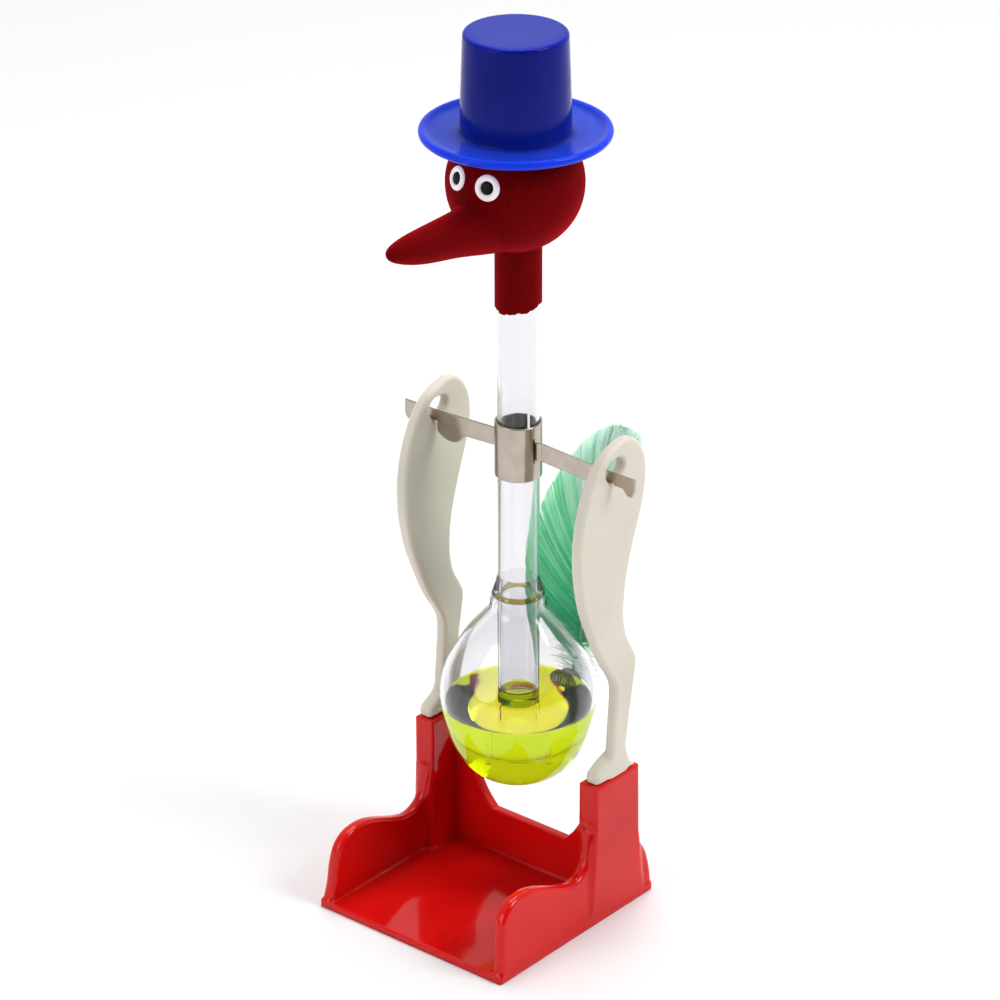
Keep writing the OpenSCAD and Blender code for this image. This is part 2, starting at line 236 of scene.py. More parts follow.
def refinish(node, material):
    """A new material on a CAD node that is shown as it is."""
    slots = frame["nodes"][node].data.materials
    slots.clear()
    slots.append(material)


def lathe(profile, steps=128, y=NECK_Y):
    """Vertices and faces of a closed solid of revolution. profile is (radius, height), axis to axis."""
    verts, faces, rings = [], [], []
    for r, z in profile:
        if r < 1e-6:
            rings.append([len(verts)] * steps)
            verts.append((0, y, z))
            continue
        rings.append(list(range(len(verts), len(verts) + steps)))
        for k in range(steps):
            a = 2 * math.pi * k / steps
            verts.append((r * math.cos(a), y + r * math.sin(a), z))
    pairs = list(zip(rings, rings[1:]))
    if profile[0][0] > 1e-6:
        pairs.append((rings[-1], rings[0]))
    for lower, upper in pairs:
        for k in range(steps):
            n = (k + 1) % steps
            face = [lower[k], lower[n], upper[n], upper[k]]
            face = [v for i, v in enumerate(face) if v != face[i - 1]]
            if len(face) > 2:
                faces.append(face)
    return verts, faces


# ------------------------------------------------------------------ materials

def material(name, color, roughness=0.3, **sockets):
    """A Principled material; returns it with its node tree and shader."""
    m = bpy.data.materials.new(name)
    m.use_nodes = True
    shader = m.node_tree.nodes["Principled BSDF"]
    shader.inputs["Base Color"].default_value = (*color, 1)
    shader.inputs["Roughness"].default_value = roughness
    for key, value in sockets.items():
        shader.inputs[key.replace("_", " ")].default_value = value
    return m, m.node_tree, shader


def noise(tree, scale, detail=3, stretch=(1, 1, 1)):
    """Noise that stays with the object, as a number from 0 to 1. scale is in cycles per metre."""
    place = tree.nodes.new("ShaderNodeTexCoord")
    mapping = tree.nodes.new("ShaderNodeMapping")
    mapping.inputs["Scale"].default_value = stretch
    n = tree.nodes.new("ShaderNodeTexNoise")
    n.inputs["Scale"].default_value = scale
    n.inputs["Detail"].default_value = detail
    tree.links.new(place.outputs["Object"], mapping.inputs["Vector"])
    tree.links.new(mapping.outputs["Vector"], n.inputs["Vector"])
    return n.outputs["Fac"]


def spread(tree, value, low, high, from_low=0.3, from_high=0.7):
    """A number mapped from one range to another."""
    r = tree.nodes.new("ShaderNodeMapRange")
    for socket, v in zip(("From Min", "From Max", "To Min", "To Max"), (from_low, from_high, low, high)):
        r.inputs[socket].default_value = v
    tree.links.new(value, r.inputs["Value"])
    return r.outputs["Result"]


def ramp(tree, value, stops):
    """Colours along a value."""
    r = tree.nodes.new("ShaderNodeValToRGB")
    while len(r.color_ramp.elements) < len(stops):
        r.color_ramp.elements.new(0.5)
    for element, (at, color) in zip(r.color_ramp.elements, stops):
        element.position = at
        element.color = (*color, 1)
    tree.links.new(value, r.inputs["Fac"])
    return r.outputs["Color"]


def bump(tree, shader, height, distance, strength=1.0):
    """Fine relief; distance is its depth in metres."""
    b = tree.nodes.new("ShaderNodeBump")
    b.inputs["Distance"].default_value = distance
    b.inputs["Strength"].default_value = strength
    tree.links.new(height, b.inputs["Height"])
    tree.links.new(b.outputs["Normal"], shader.inputs["Normal"])


def moulded(name, dark, light, roughness, wave=0.00012, tint=None, **sockets):
    """Moulded plastic: faint ripples and slow changes of gloss and of colour, unless tint gives that."""
    m, tree, shader = material(name, light, roughness[0], **sockets)
    color = tint(tree) if tint else ramp(tree, noise(tree, 45, 4), [(0.3, dark), (0.7, light)])
    tree.links.new(color, shader.inputs["Base Color"])
    tree.links.new(spread(tree, noise(tree, 420, 5), *roughness), shader.inputs["Roughness"])
    bump(tree, shader, noise(tree, 110, 2), wave, 0.35)
    return m


HAT_PAINTED_LIGHT_REACH = 18.6        # from the hat's axis to the last of its colours


def hat_painted_light_and_shade(tree):
    """Painted light and shade: the brim, and its lip most of all, are painted brighter for light that
    comes through the thin brim, the top a little paler, and the crown darker towards its foot.
    """
    place = tree.nodes.new("ShaderNodeTexCoord")
    middle = tree.nodes.new("ShaderNodeVectorMath")
    middle.operation = "SUBTRACT"
    middle.inputs[1].default_value = (0, (NECK_Y + HAT_Y) * MM, 0)
    flat = tree.nodes.new("ShaderNodeVectorMath")
    flat.operation = "MULTIPLY"
    flat.inputs[1].default_value = (1, 1, 0)
    length = tree.nodes.new("ShaderNodeVectorMath")
    length.operation = "LENGTH"
    tree.links.new(place.outputs["Object"], middle.inputs[0])
    tree.links.new(middle.outputs[0], flat.inputs[0])
    tree.links.new(flat.outputs[0], length.inputs[0])
    grain = tree.nodes.new("ShaderNodeMath")
    grain.operation = "MULTIPLY_ADD"
    grain.inputs[1].default_value = 0.0008
    tree.links.new(noise(tree, 60, 3), grain.inputs[0])
    tree.links.new(length.outputs["Value"], grain.inputs[2])
    # painted light and shade by distance from the axis: paler top, dark crown foot, brighter brim,
    # brightest lip
    stops = [(0.0, (0.018, 0.030, 0.33)), (0.45, (0.012, 0.025, 0.32)), (0.53, (0.003, 0.010, 0.34)),
             (0.562, (0.002, 0.006, 0.19)), (0.66, (0.012, 0.042, 0.48)), (0.88, (0.012, 0.050, 0.54)),
             (0.96, (0.010, 0.050, 0.66))]
    return ramp(tree, spread(tree, grain.outputs["Value"], 0, 1, 0, HAT_PAINTED_LIGHT_REACH * MM), stops)


RED = moulded("red_moulding", (0.58, 0.003, 0.003), (0.70, 0.006, 0.005), (0.05, 0.12),
              Specular_IOR_Level=0.3, Subsurface_Weight=0.6, Subsurface_Scale=0.002,
              Subsurface_Radius=(1.0, 0.12, 0.1))
CREAM = moulded("cream_moulding", (0.64, 0.60, 0.505), (0.705, 0.665, 0.575), (0.30, 0.45),
                Subsurface_Weight=0.35, Subsurface_Scale=0.003, Subsurface_Radius=(1.0, 0.8, 0.55))
# the hat's base colour is painted light and shade, given by the hat's tint function
BLUE = moulded("blue_moulding", (0.002, 0.005, 0.26), (0.004, 0.010, 0.33), (0.10, 0.18), wave=0.00004,
               tint=hat_painted_light_and_shade, Specular_IOR_Level=0.1, Subsurface_Weight=0.8, Subsurface_Scale=0.002,
               Subsurface_Radius=(0.06, 0.2, 1.0))
# the eye whites' emission is a painted glow that makes them brighter than their light gives
WHITE = moulded("eye_white_enamel_painted_glow", (0.86, 0.80, 0.80), (0.98, 0.93, 0.92), (0.4, 0.55),
                Emission_Color=(1, 0.82, 0.84, 1), Emission_Strength=0.2)
BLACK = moulded("eye_black_enamel", (0.002, 0.002, 0.002), (0.006, 0.006, 0.006), (0.35, 0.5),
                Specular_IOR_Level=0.15)
GLUE = moulded("smoky_glue", (0.16, 0.14, 0.18), (0.34, 0.31, 0.36), (0.12, 0.3),
               Transmission_Weight=0.4, IOR=1.48)
BEAK = moulded("beak_core_fibre", (0.10, 0.003, 0.004), (0.16, 0.005, 0.006), (0.8, 0.95))


def glass_material(name, color, ior):
    """Blown glass, drawn a little along its length."""
    m, tree, shader = material(name, color, 0.0, Transmission_Weight=1.0, IOR=ior)
    bump(tree, shader, noise(tree, 60, 1, (1, 1, 0.35)), 0.00006, 0.25)
    return m


def liquid_material(name, ior):
    """Lime at the walls; faces that look up are painted lighter and more golden, as painted light through
    its level surface.
    """
    m, tree, shader = material(name, (0.76, 0.85, 0.04), 0.0, Transmission_Weight=1.0, IOR=ior)
    place = tree.nodes.new("ShaderNodeTexCoord")
    split = tree.nodes.new("ShaderNodeSeparateXYZ")
    # painted light: the colour follows how far each face looks up
    tree.links.new(place.outputs["Normal"], split.inputs["Vector"])
    top_painted_light = tree.nodes.new("ShaderNodeMath")
    top_painted_light.operation = "MULTIPLY_ADD"
    tree.links.new(noise(tree, 70, 2), top_painted_light.inputs[0])
    top_painted_light.inputs[1].default_value = 0.2
    tree.links.new(split.outputs["Z"], top_painted_light.inputs[2])
    stops = [(0.0, (0.60, 0.76, 0.006)), (0.55, (0.70, 0.82, 0.012)), (0.95, (0.88, 0.83, 0.012))]
    tree.links.new(ramp(tree, top_painted_light.outputs["Value"], stops), shader.inputs["Base Color"])
    return m


def nickel_material():
    """Plated sheet with fine marks along it."""
    m, tree, shader = material("nickel_plate", (0.62, 0.56, 0.50), 0.2, Metallic=1.0)
    stops = [(0.3, (0.43, 0.375, 0.31)), (0.7, (0.52, 0.455, 0.395))]
    tree.links.new(ramp(tree, noise(tree, 300, 5), stops), shader.inputs["Base Color"])
    tree.links.new(spread(tree, noise(tree, 1400, 4, (0.3, 1, 3)), 0.14, 0.24), shader.inputs["Roughness"])
    bump(tree, shader, noise(tree, 2600, 3, (0.2, 1, 4)), 0.000004, 0.25)
    return m


def flock_material():
    """Short dense pile, with a sheen where it is seen from the side."""
    m, tree, shader = material("red_flock", (0.14, 0.0, 0.001), 0.9, Sheen_Weight=0.8, Sheen_Roughness=0.4,
                               Sheen_Tint=(1.0, 0.01, 0.03, 1), Specular_IOR_Level=0.05)
    stops = [(0.3, (0.08, 0.0, 0.0005)), (0.7, (0.19, 0.0, 0.001))]
    tree.links.new(ramp(tree, noise(tree, 3200, 4), stops), shader.inputs["Base Color"])
    bump(tree, shader, noise(tree, 5200, 3), 0.00012, 0.8)
    return m


def feather_material():
    """Dyed barbs: deep green near the bulb, paler up the feather, each barb a little different, with a
    faint painted glow in their own colour.
    """
    m, tree, shader = material("dyed_barbs_painted_glow", (0.05, 0.55, 0.25), 0.6, Sheen_Weight=0.3,
                               Subsurface_Weight=0.25, Subsurface_Scale=0.001)
    place = tree.nodes.new("ShaderNodeTexCoord")
    split = tree.nodes.new("ShaderNodeSeparateXYZ")
    tree.links.new(place.outputs["Object"], split.inputs["Vector"])
    height = spread(tree, split.outputs["Z"], 0.0, 1.0, 0.045, 0.088)
    mix = tree.nodes.new("ShaderNodeMath")
    mix.operation = "MULTIPLY_ADD"
    tree.links.new(noise(tree, 160, 4, (1, 1, 0.5)), mix.inputs[0])
    mix.inputs[1].default_value = 0.7
    tree.links.new(height, mix.inputs[2])
    island = tree.nodes.new("ShaderNodeNewGeometry")
    each = tree.nodes.new("ShaderNodeMath")
    each.operation = "MULTIPLY_ADD"
    tree.links.new(island.outputs["Random Per Island"], each.inputs[0])
    each.inputs[1].default_value = 0.45
    tree.links.new(mix.outputs["Value"], each.inputs[2])
    color = ramp(tree, spread(tree, each.outputs["Value"], 0, 1, 0.3, 1.55),
                 [(0.0, (0.01, 0.40, 0.14)), (0.3, (0.02, 0.64, 0.23)),
                  (0.5, (0.10, 0.82, 0.38)), (0.8, (0.36, 0.95, 0.55)), (1.0, (0.72, 1.0, 0.84))])
    tree.links.new(color, shader.inputs["Base Color"])
    # painted glow: the barbs give off a little light in their own colour
    tree.links.new(color, shader.inputs["Emission Color"])
    shader.inputs["Emission Strength"].default_value = 0.06
    return m


def quill_material():
    """Dyed keratin."""
    m, tree, shader = material("quill_keratin", (0.35, 0.7, 0.42), 0.35)
    stops = [(0.3, (0.20, 0.52, 0.28)), (0.7, (0.45, 0.75, 0.5))]
    tree.links.new(ramp(tree, noise(tree, 120, 3), stops), shader.inputs["Base Color"])
    return m


GLASS = glass_material("blown_glass", (0.915, 0.915, 0.93), 1.46)
WET_GLASS = glass_material("glass_under_liquid", (0.97, 0.98, 0.93), 1.03)
LIQUID = liquid_material("coloured_liquid", 1.424)
LIQUID_SIDE = liquid_material("coloured_liquid_at_glass", 1.002)
FILM = glass_material("dried_liquid", (0.60, 0.50, 0.10), 1.42)
NICKEL = nickel_material()
FLOCK = flock_material()
FEATHER = feather_material()
QUILL = quill_material()
# the down's emission is a painted glow that brightens it
DOWN = moulded("pale_down_painted_glow", (0.60, 0.80, 0.70), (0.92, 0.95, 0.93), (0.6, 0.8), Sheen_Weight=0.4,
               Emission_Color=(0.8, 0.95, 0.88, 1), Emission_Strength=0.25)


# ------------------------------------------------------------------ stand

WALL_HALF, WALL_LEAN = 1.3, 0.075
TOWER_HALF = 2.3
CROSS_Y, CROSS_HALF = 4.05, 0.95
FLOOR_T = 1.5
BURIED = -2


def side_wall_outline():
    """Low side wall, in Y from the neck's axis and Z."""
    front, back = BASE_LOW[1] - NECK_Y, BASE_HIGH[1] - NECK_Y
    top = spline([(front - 0.3, BURIED), (front, 0.5), (front + 1, 5), (front + 1.5, 10),
                  (front + 2.8, 13.8), (front + 6, 15.9), (-22, 15.8), (-13, 12.3), (-9.5, 11.6),
                  (-6.8, 12.7), (-5.1, 15.2), (-4.3, 20)], 4)
    rear = spline([(9.3, 14.5), (10.7, 12.3), (12.6, 9.1), (back, 3.9), (back, BURIED)], 4)
    return np.vstack([top, rear])


def cross_wall_outline():
    """Wall between the towers, in X and Z."""
    x1 = BASE_HIGH[0] - TOWER_HALF
    rise = spline([(9.2, 11.1), (11.5, 13.7), (13.4, 17), (16, 22.8), (x1, 29.6)], 4)
    return np.vstack([[(-x1, 0)], rise[::-1] * (-1, 1), rise, [(x1, 0)]])


SIDE_WALL = side_wall_outline()
CROSS_WALL = cross_wall_outline()
TOWER = np.array([(-4.4, -1), (-4.3, TOWER_H), (9, TOWER_H), (9.6, -1)])


def base_distance(x, y, z):
    """The tray: floor, leaning side walls, towers and cross wall, melted together by small fillets."""
    w = BASE_HIGH[0]
    ax, ny = np.abs(x), y - NECK_Y
    lean = WALL_LEAN * np.maximum(z, 0)
    wall = slab(polygon_distance(ny, z, SIDE_WALL), ax + lean - (w - WALL_HALF), WALL_HALF, 0.95)
    tower = slab(polygon_distance(ny, z, TOWER), ax - (w - TOWER_HALF), TOWER_HALF, 0.55)
    cross = slab(polygon_distance(x, z, CROSS_WALL), ny - CROSS_Y, CROSS_HALF, 0.3)
    bottom = round_box(x, y, z, (-w, BASE_LOW[1], BURIED), (w, BASE_HIGH[1], FLOOR_T), 0.3)
    d = join(join(wall, tower, 2.2), bottom, 0.9)
    d = join(d, cross, 0.8)
    edges = slab(np.maximum(BASE_LOW[1] - y, y - BASE_HIGH[1]), ax, w, 0.35)
    return np.maximum(np.maximum(d, edges), -z)


sculpt("base_tray_moulding", base_distance, BASE_LOW, BASE_HIGH, 0.28, RED, "stand",
       "base_tray")

LEG_T = 2.5
LEG_MID = LEG_HIGH[0] - LEG_T / 2
SEAT_R = 1.22
FOOT_HALF, FOOT_SHIFT = 1.8, 0.55
LEG_FRONT = spline([
    (4, 102.6), (0.5, 101.7), (-2.5, 100.2), (-5, 97.5), (-7, 94), (-8.5, 90), (-9.3, 86),
    (-9.6, 82), (-9.2, 76.4), (-7.9, 70.5), (-6.4, 66.4), (-4, 61), (-2, 57), (0.8, 52.7),
    (1.9, 50.2), (2, 47), (1.6, 42), (1.2, 36.7), (0.8, 31)], 3)
LEG_BACK = spline([
    (5, 31), (5.2, 36), (6, 41), (6.9, 46.5), (7.8, 51.5), (8.1, 54.5), (6.8, 57.3),
    (5.1, 60.5), (4.2, 64.3), (4.2, 68), (4.7, 72.5), (6, 77.5), (7.5, 82), (9.2, 86.6),
    (10.3, 91), (10.5, 94.4), (9.9, 97.7), (8.2, 100.6), (6.2, 102.2)], 3)
LEG_OUTLINE = np.vstack([LEG_FRONT, LEG_BACK])
FOOT_OUTLINE = spline([
    (8.2, TOWER_H), (-2.2, TOWER_H), (-3.5, TOWER_H + 0.8), (-3.2, TOWER_H + 2.2), (-1.6, TOWER_H + 3.2),
    (0.6, TOWER_H + 4.2), (5, TOWER_H + 4.6), (6.8, TOWER_H + 1.8), (8.3, TOWER_H + 0.6)], 4)


def leg_distance(side):
    """A flat leg with rounded edges, a loop at its top and a foot on the tower."""
    def distance(x, y, z):
        across, ny = x * side - LEG_MID, y - NECK_Y
        flat = polygon_distance(ny, z, LEG_OUTLINE)
        hole = np.hypot(ny, z - PIVOT_Z) - SEAT_R
        hole = join(hole, np.hypot(ny - 0.4, z - PIVOT_Z - 1.2) - 2.2, 0.3)
        hole = join(hole, np.hypot(ny - 1.7, z - PIVOT_Z - 1.6) - 1.8, 0.3)
        plate = slab(np.maximum(flat, -hole), across, LEG_T / 2, 0.75)
        foot = slab(polygon_distance(ny, z, FOOT_OUTLINE), across + FOOT_SHIFT, FOOT_HALF, 1.15)
        return np.maximum(join(plate, foot, 1.4), slab(TOWER_H - z, across + FOOT_SHIFT, FOOT_HALF, 0.2))
    return distance


for side, name in ((1, "left_leg"), (-1, "right_leg")):
    low, high = box_mm(name)
    sculpt(name + "_moulding", leg_distance(side), (low[0], low[1], TOWER_H), high, 0.26, CREAM,
           "stand", name)

# ------------------------------------------------------------------ pivot strip

SHEET_T = 0.44
COLLAR_R = TUBE_R + 0.05
BLADE_TOP = PIVOT_Z + 1.14
BLADE_LOW = BLADE_TOP - 3.8
NECK_LOW = BLADE_TOP - 2.28
ROOT_RISE = 0.8
NECK_IN, NECK_OUT, STRIP_END = 20.2, 23.5, STRIP_HIGH[0]


def blade_outline(tail):
    """A blade from inside the collar to the strip's end, in X (outwards) and Z."""
    top = [(STRIP_END, BLADE_TOP), (NECK_IN, BLADE_TOP), (COLLAR_R - 0.1, BLADE_TOP + ROOT_RISE)]
    neck = [(NECK_IN, NECK_LOW), (NECK_OUT, NECK_LOW)]
    return np.array(top + [(COLLAR_R - 0.1, BLADE_LOW + ROOT_RISE), (NECK_IN, BLADE_LOW)] + neck + tail)


def lower_end(start_drop, points):
    """The lower edge of a blade's end, from places given as (back from the end, below the top)."""
    start = [(NECK_OUT, BLADE_TOP - start_drop)]
    return start + [(STRIP_END - back, BLADE_TOP - drop) for back, drop in points]


HOOKED = lower_end(2.6, [(2.9, 2.6), (2.2, 3.5), (1.7, 3.9), (0.7, 3.9), (0, 2.4)])
ROUND = lower_end(4.1, [(1.6, 4.1), (0.7, 3.9), (0.2, 3.4), (0, 2.8)])
SEAM, SEAM_HALF = math.radians(98), 0.35
MOON_X, MOON_R = 17, 4.3


def strip_distance(x, y, z):
    """Two blades and the collar rolled between them, stamped and bent from one thin sheet."""
    ny, half = y - NECK_Y, SHEET_T / 2
    step = np.clip((x - 5.2) / 0.5, 0, 1)
    fold = -0.35 * (1 - step * step * (3 - 2 * step)) * (x > 0)
    left = slab(polygon_distance(x, z, blade_outline(HOOKED)), ny - fold, half, 0.1)
    outline = polygon_distance(-x, z, blade_outline(ROUND))
    moon = np.hypot(-x - MOON_X, z - BLADE_LOW - 2.4) - MOON_R
    moon = np.maximum(moon, np.maximum(z - BLADE_LOW - 2, -x - NECK_IN))
    right = slab(join(outline, moon, 0.25), ny, half, 0.1)
    ring = np.hypot(x, ny) - COLLAR_R - half
    middle = (STRIP_LOW[2] + STRIP_HIGH[2]) / 2
    collar = slab(np.abs(z - middle) - (STRIP_HIGH[2] - STRIP_LOW[2]) / 2, ring, half, 0.12)
    along = x * math.cos(SEAM) + ny * math.sin(SEAM)
    across = ny * math.cos(SEAM) - x * math.sin(SEAM)
    collar = cut(collar, np.maximum(np.abs(across) - SEAM_HALF, -along), 0.15)
    slot = np.maximum(np.abs(ny + 0.77) - 0.2, np.maximum(np.abs(z - BLADE_LOW - 2.7) - 2.4, -x))
    collar = cut(collar, slot, 0.1)
    d = np.minimum(np.minimum(left, right), collar)
    return np.maximum(d, COLLAR_R - np.hypot(x, ny))


sculpt("pivot_strip_sheet", strip_distance, STRIP_LOW, STRIP_HIGH, 0.13, NICKEL, "pivot",
       "pivot_strip")

# ------------------------------------------------------------------ glass and liquid

BULB = spline([
    (0, 23.9), (4, 24.15), (7.3, 25.3), (9.9, 27.2), (12.1, 30), (13.4, 33), (14.3, 36),
    (15.05, 39), (15.42, 42), (15.2, 45), (14.4, 48), (13, 51), (11.3, 54), (9.2, 57),
    (6.9, 59.8), (5.7, 61.5), (5.5, 63.2), (5.1, 64.8), (4.5, 66.6), (TUBE_R, 68.4)], 5)
BULB_IN = beside(BULB, -GLASS_T)
SEAL_Z = 65.3


def split_faces(obj, second, chosen):
    """Give the faces that chosen picks (by their middle, in mm, and normal) a second material."""
    obj.data.materials.append(second)
    for face in obj.data.polygons:
        middle = face.center / MM
        face.material_index = int(chosen(math.hypot(middle.x, middle.y - NECK_Y), middle.z, face.normal.z))


def glass_body():
    """Body bulb, fused round the neck tube. Its inside is wet below the liquid's level."""
    inner = [(max(r, 0), z) for r, z in BULB_IN if z < SEAL_Z - 0.4 and (z < 45 or r > TUBE_R + 0.1)]
    inner[0] = (0, inner[0][1])
    outer = [tuple(p) for p in BULB]
    verts, faces = lathe(outer + [(TUBE_R, SEAL_Z)] + inner[::-1], 160)
    obj = make("body_bulb_glass", verts, faces, GLASS, "bird", 35, node="body_bulb")
    low = BULB[BULB[:, 1] < LIQUID_TOP + 3]

    def wet(r, z, _up):
        return z < LIQUID_TOP and r < np.interp(z, low[:, 1], low[:, 0]) - 0.35 and z > inner[0][1] - 0.05
    split_faces(obj, WET_GLASS, wet)


def glass_tube(name, z0, z1, mat, node=None):
    """A length of the neck tube, with its lower end melted round."""
    r0, r1 = TUBE_R - GLASS_T, TUBE_R
    mid, half = (r0 + r1) / 2, GLASS_T / 2
    lip = [(mid - half * math.cos(a), z0 + half - half * math.sin(a)) for a in np.linspace(0, math.pi, 9)]
    verts, faces = lathe(lip + [(r1, z1), (r0, z1)], 128)
    make(name, verts, faces, mat, "bird", 35, node)


def liquid_body():
    """Liquid that wets the glass, with a meniscus at the wall and round the dip tube."""
    wall = [(max(r, 0), z) for r, z in beside(BULB, -GLASS_T - 0.02) if z < LIQUID_TOP + 0.35]
    wall[0] = (0, wall[0][1])
    rim = wall[-1][0]
    top = []
    for r in np.concatenate([np.linspace(rim - 0.1, rim - 1.6, 8), np.linspace(rim - 2.4, 0, 12)]):
        curl = math.exp(-(rim - r) / 0.5) + math.exp(-abs(r - TUBE_R) / 0.4) * (r > TUBE_R)
        top.append((max(r, 0), LIQUID_TOP - 0.25 + 0.5 * curl))
    verts, faces = lathe(wall + top, 160)
    obj = make("liquid_body", verts, faces, LIQUID_SIDE, "bird", 35, node="liquid")
    split_faces(obj, LIQUID, lambda r, z, up: up > 0.3 and z > LIQUID_TOP - 0.5)


def liquid_column():
    """Liquid that the vapour holds a little higher inside the tube, with a hollow top."""
    r1, top = TUBE_R - GLASS_T + 0.04, LIQUID_TOP + 3
    bowl = [(r, top - 0.7 * (1 - (r / r1) ** 2) ** 0.5) for r in np.linspace(r1, 0, 10)]
    verts, faces = lathe([(0, LIQUID_TOP - 0.2), (r1, LIQUID_TOP - 0.2)] + bowl, 96)
    make("liquid_column", verts, faces, LIQUID, "bird", 35)


def seal_film():
    """A little liquid caught in the crevice where the bulb is fused to the tube."""
    wall = [(r, z) for r, z in beside(BULB, -GLASS_T + 0.05) if 63.9 < z < SEAL_Z - 0.5]
    profile = wall + [(TUBE_R - 0.04, SEAL_Z - 0.45), (TUBE_R - 0.04, 63.7), (TUBE_R + 0.2, 64.0)]
    verts, faces = lathe(profile, 96)
    make("seal_film", verts, faces, FILM, "bird", 35)


glass_body()
glass_tube("neck_tube_glass", LIQUID_TOP - 0.15, TUBE_HIGH[2], GLASS, "neck_tube")
glass_tube("dip_tube_glass", TUBE_LOW[2], LIQUID_TOP - 0.4, WET_GLASS)
liquid_body()
liquid_column()
seal_film()
refinish("head_bulb", GLASS)

# ------------------------------------------------------------------ head

BEAK_SIDE = spline([(5.6, 0), (5.1, 4), (4.6, 7.6), (4.1, 11.2), (3.55, 16), (2.95, 21), (2.3, 25),
                    (1.5, 27.8), (0.75, 28.9), (0, 29.2)], 3)
BEAK_OUTLINE = np.vstack([[(-5, 0)], BEAK_SIDE, [(-5, 29.2)]])
BEAK_ROOT = (-8, 144.3)
BEAK_RISE = math.radians(6.2)
SLEEVE_R = 4.5
SLEEVE_END = FLOCK_LOW[2]


def head_distance(x, y, z):
    """Flocked head, beak and neck sleeve in one skin over the glass."""
    ny = y - NECK_Y
    head = np.sqrt(x**2 + (ny - HEAD_Y) ** 2 + (z - HEAD_Z) ** 2) - HEAD_R
    along = (BEAK_ROOT[0] - ny) * math.cos(BEAK_RISE) + (z - BEAK_ROOT[1]) * math.sin(BEAK_RISE)
    off = (BEAK_ROOT[0] - ny) * math.sin(BEAK_RISE) - (z - BEAK_ROOT[1]) * math.cos(BEAK_RISE)
    belly = 1 + 0.16 * np.exp(-(((along - 21) / 8) ** 2)) * (off > 0)
    beak = polygon_distance(np.sqrt(x**2 + (off / belly) ** 2), along, BEAK_OUTLINE)
    axis = np.hypot(x, ny)
    angle = np.arctan2(x, ny)
    ragged = 0.22 * np.sin(5 * angle + 1.0) + 0.16 * np.sin(11 * angle) + 0.10 * np.sin(23 * angle + 2)
    slant = np.clip(0.35 + 0.15 * x + 0.125 * ny, 0, 2)
    above_end = SLEEVE_END + 0.4 + slant + 0.6 * ragged - z
    sleeve = np.maximum(above_end, np.maximum(z - SLEEVE_END - 15, axis - SLEEVE_R))
    taper = axis - (TUBE_R + 0.05 + np.clip(z - SLEEVE_END - slant - 0.2 - ragged, 0, 1.4) * 0.5)
    sleeve = np.maximum(sleeve, taper)
    d = join(join(head, beak, 1.0), sleeve, 0.7)
    d = np.maximum(d, TUBE_R - 0.3 - axis)
    return np.maximum(d, -(np.sqrt(x**2 + ny**2 + (z - HEAD_Z) ** 2) - HEAD_BULB_R - 0.02))


sculpt("head_flock_skin", head_distance, FLOCK_LOW, FLOCK_HIGH, 0.3, FLOCK, "bird",
       "head_flock")


def eye(name, turned, white_r, pupil_r):
    """A domed white disc with a round black pupil set into it, turned in degrees from the beak."""
    white = [(0, 0), (white_r - 0.15, 0), (white_r, 0.2), (white_r, 0.85), (white_r - 0.12, 1.05),
             (white_r - 0.4, 1.2), (2.0, 1.28), (pupil_r + 0.18, 1.26), (pupil_r, 1.1), (pupil_r, 0.8),
             (0, 0.8)]
    pupil = [(0, 0.8), (pupil_r - 0.02, 0.8), (pupil_r - 0.02, 1.05), (pupil_r - 0.2, 1.2), (0.7, 1.3),
             (0, 1.33)]
    turn = (Matrix.Translation((0, (NECK_Y + HEAD_Y) * MM, HEAD_Z * MM))
            @ Matrix.Rotation(math.radians(turned), 4, "Z") @ Matrix.Rotation(math.radians(75), 4, "X")
            @ Matrix.Translation((0, 0, (HEAD_R - 1) * MM)))
    discs = ((white, WHITE, "eye_white", "white"), (pupil, BLACK, "eye_black", "pupil"))
    for profile, mat, slot, part in discs:
        verts, faces = lathe(profile, 48, y=0)
        verts = [tuple((turn @ Vector(np.array(v) * MM)) / MM) for v in verts]
        obj = make(f"{name}_{part}_disc", verts, faces, mat, "bird", node=f"{name}_{part}")
        soften = obj.modifiers.new("soften", "SUBSURF")
        soften.levels = soften.render_levels = 1


eye("left_eye", 15.5, 2.5, 1.3)
eye("right_eye", -18.5, 2.35, 1.25)
refinish("beak_core", BEAK)

# ------------------------------------------------------------------ hat


def hat():
    """Moulded top hat with a rolled lip round its brim."""
    z0, z1, rb = HAT_LOW[2], HAT_HIGH[2], HAT_HIGH[0]
    profile = [(9.45, z0), (rb - 0.8, z0)]
    profile += [(rb - 0.8 + 0.8 * math.sin(a), z0 + 0.9 - 0.9 * math.cos(a))
                for a in np.linspace(0.3, 2.8, 12)]
    profile += [(rb - 1.25, z0 + 1.62), (rb - 1.6, z0 + 1.25), (rb - 2.1, z0 + 1.05)]
    profile += [(15, z0 + 1.0), (12, z0 + 1.0), (10.95, z0 + 1.03), (10.6, z0 + 1.2), (10.47, z0 + 1.6)]
    profile += [(10.43, z0 + 4), (10.2, (z0 + z1) / 2 + 1), (9.9, z1 - 1.2)]
    profile += [(9.22 + 0.65 * math.cos(a), z1 - 0.65 + 0.65 * math.sin(a))
                for a in np.linspace(0, math.pi / 2, 8)]
    profile += [(8, z1), (4, z1 - 0.04), (0, z1 - 0.05), (0, z1 - 1), (8.7, z1 - 1)]
    verts, faces = lathe(profile, 160, NECK_Y + HAT_Y)
    make("top_hat_moulding", verts, faces, BLUE, "bird", 40, "hat")


hat()
refinish("hat_glue", GLUE)
refinish("feather_glue", GLUE)

# ------------------------------------------------------------------ tail feather

